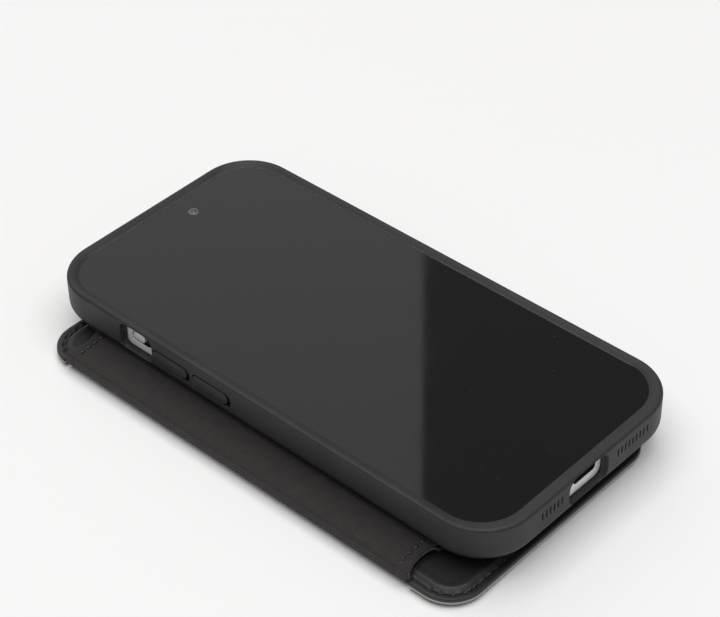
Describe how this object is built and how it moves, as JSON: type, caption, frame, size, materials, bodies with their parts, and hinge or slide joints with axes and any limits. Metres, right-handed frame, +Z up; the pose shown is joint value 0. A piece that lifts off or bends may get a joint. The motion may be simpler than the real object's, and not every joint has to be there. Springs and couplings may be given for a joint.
{
  "type": "phone wallet case",
  "caption": "Soft bumper shell for a phone on a hinged leather cover with stacked card pockets, shown with the cover folded back under the shell and a plain phone inside.",
  "frame": {"origin": "on the resting plane, on the outer face of the lowest card pocket, under the middle of the phone", "axes": "+X towards the right side of the phone, +Y towards its top end, +Z up out of its glass"},
  "size_m": [0.0853, 0.1518, 0.0173],
  "materials": {
    "shell_tpu": "matt soft-touch moulded elastomer",
    "microfibre": "short brushed pile",
    "magnet": "nickel plated",
    "adhesive": "film",
    "stiff_board": "pressed fibre board",
    "steel": "thin rolled sheet",
    "outer_leather": "smooth fine-grained matt leather",
    "ribbed_fabric": "fine ribbed woven fabric",
    "thread": "twisted polyester thread",
    "edge_core": "pale fibre core seen at the cut edge",
    "pocket_lining": "thin coated lining sheet",
    "phone_metal": "satin anodised",
    "phone_glass": "polished near-black glass",
    "phone_lens": "coated lens",
    "phone_dark": "dark moulded insert",
    "phone_flash": "clear diffuser"
  },
  "bodies": {
    "shell": {"phone_shell": "shell_tpu", "shell_lining": "microfibre", "camera_guard": "shell_tpu", "shell_magnets": "magnet", "back_adhesive": "adhesive", "back_board": "stiff_board", "back_steel_sheet": "steel", "back_leather": "outer_leather"},
    "spine": {"spine_leather": "outer_leather", "spine_fabric": "ribbed_fabric", "spine_stitching": "thread"},
    "crease": {"crease_leather": "outer_leather", "crease_fabric": "ribbed_fabric"},
    "cover": {"cover_leather": "outer_leather", "cover_core": "edge_core", "cover_lining": "pocket_lining", "cover_magnets": "magnet", "cover_stitching": "thread", "pocket_back": "pocket_lining", "pocket_middle": "pocket_lining", "pocket_front": "pocket_lining"},
    "volume_up": {"volume_up_button": "shell_tpu"},
    "volume_down": {"volume_down_button": "shell_tpu"},
    "power": {"power_button": "shell_tpu"},
    "phone": {"phone_frame": "phone_metal", "phone_front_glass": "phone_glass", "phone_back_glass": "phone_glass", "phone_front_camera": "phone_lens", "phone_earpiece": "phone_dark", "phone_port": "phone_dark", "phone_mute_switch": "phone_metal", "phone_camera_plateau": "phone_glass", "phone_camera_lenses": "phone_lens", "phone_flash": "phone_flash"}
  },
  "joints": [
    {"name": "spine_hinge", "type": "hinge", "parent": "shell", "child": "spine", "pos_m": [-0.0357, 0, 0.00878], "axis": [0, 1, 0], "range_deg": [0, 94.31]},
    {"name": "crease_hinge", "type": "hinge", "parent": "spine", "child": "crease", "pos_m": [-0.04591, 0, 0.0041], "axis": [0, 1, 0], "range_deg": [0, 130.69]},
    {"name": "cover_hinge", "type": "hinge", "parent": "crease", "child": "cover", "pos_m": [-0.04591, 0, 0.0027], "axis": [0, 1, 0], "range_deg": [0, 135]},
    {"name": "volume_up_press", "type": "slide", "parent": "shell", "child": "volume_up", "axis": [1, 0, 0], "range_m": [0, 0.0003], "stiffness_N_per_m": 700, "springref_m": -0.0002},
    {"name": "volume_down_press", "type": "slide", "parent": "shell", "child": "volume_down", "axis": [1, 0, 0], "range_m": [0, 0.0003], "stiffness_N_per_m": 700, "springref_m": -0.0002},
    {"name": "power_press", "type": "slide", "parent": "shell", "child": "power", "axis": [-1, 0, 0], "range_m": [0, 0.0003], "stiffness_N_per_m": 700, "springref_m": -0.0002},
    {"name": "phone_seating", "type": "slide", "parent": "shell", "child": "phone", "axis": [0, 0, -1], "range_m": [-0.02, 0]}
  ],
  "couplings": [
    {"joint": "crease_hinge", "follows": "cover_hinge", "ratio": 0.96809}
  ]
}
